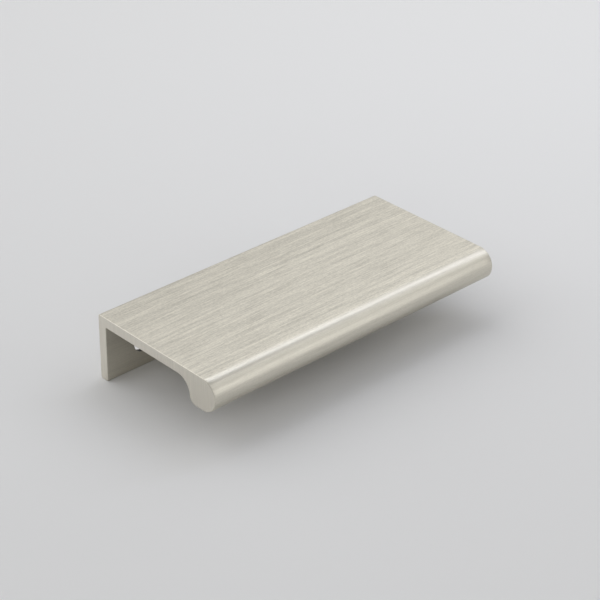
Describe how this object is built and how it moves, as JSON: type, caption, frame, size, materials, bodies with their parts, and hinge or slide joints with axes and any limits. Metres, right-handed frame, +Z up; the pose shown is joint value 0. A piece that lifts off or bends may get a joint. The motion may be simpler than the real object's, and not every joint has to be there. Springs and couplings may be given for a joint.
{
  "type": "tab pull",
  "caption": "Extruded metal tab pull: a flat tab over the top edge of a drawer front, a round finger nose out in front and a countersunk screw leg behind.",
  "frame": {"origin": "midway between the two screw holes, on the face of the leg that meets the drawer front", "axes": "+X along the pull, -Y out over the drawer front to the nose, +Z up"},
  "size_m": [0.1, 0.046, 0.0193],
  "materials": {
    "satin_nickel": "brushed along its length and plated satin nickel"
  },
  "bodies": {
    "root": {"tab_pull": "satin_nickel"}
  },
  "joints": []
}
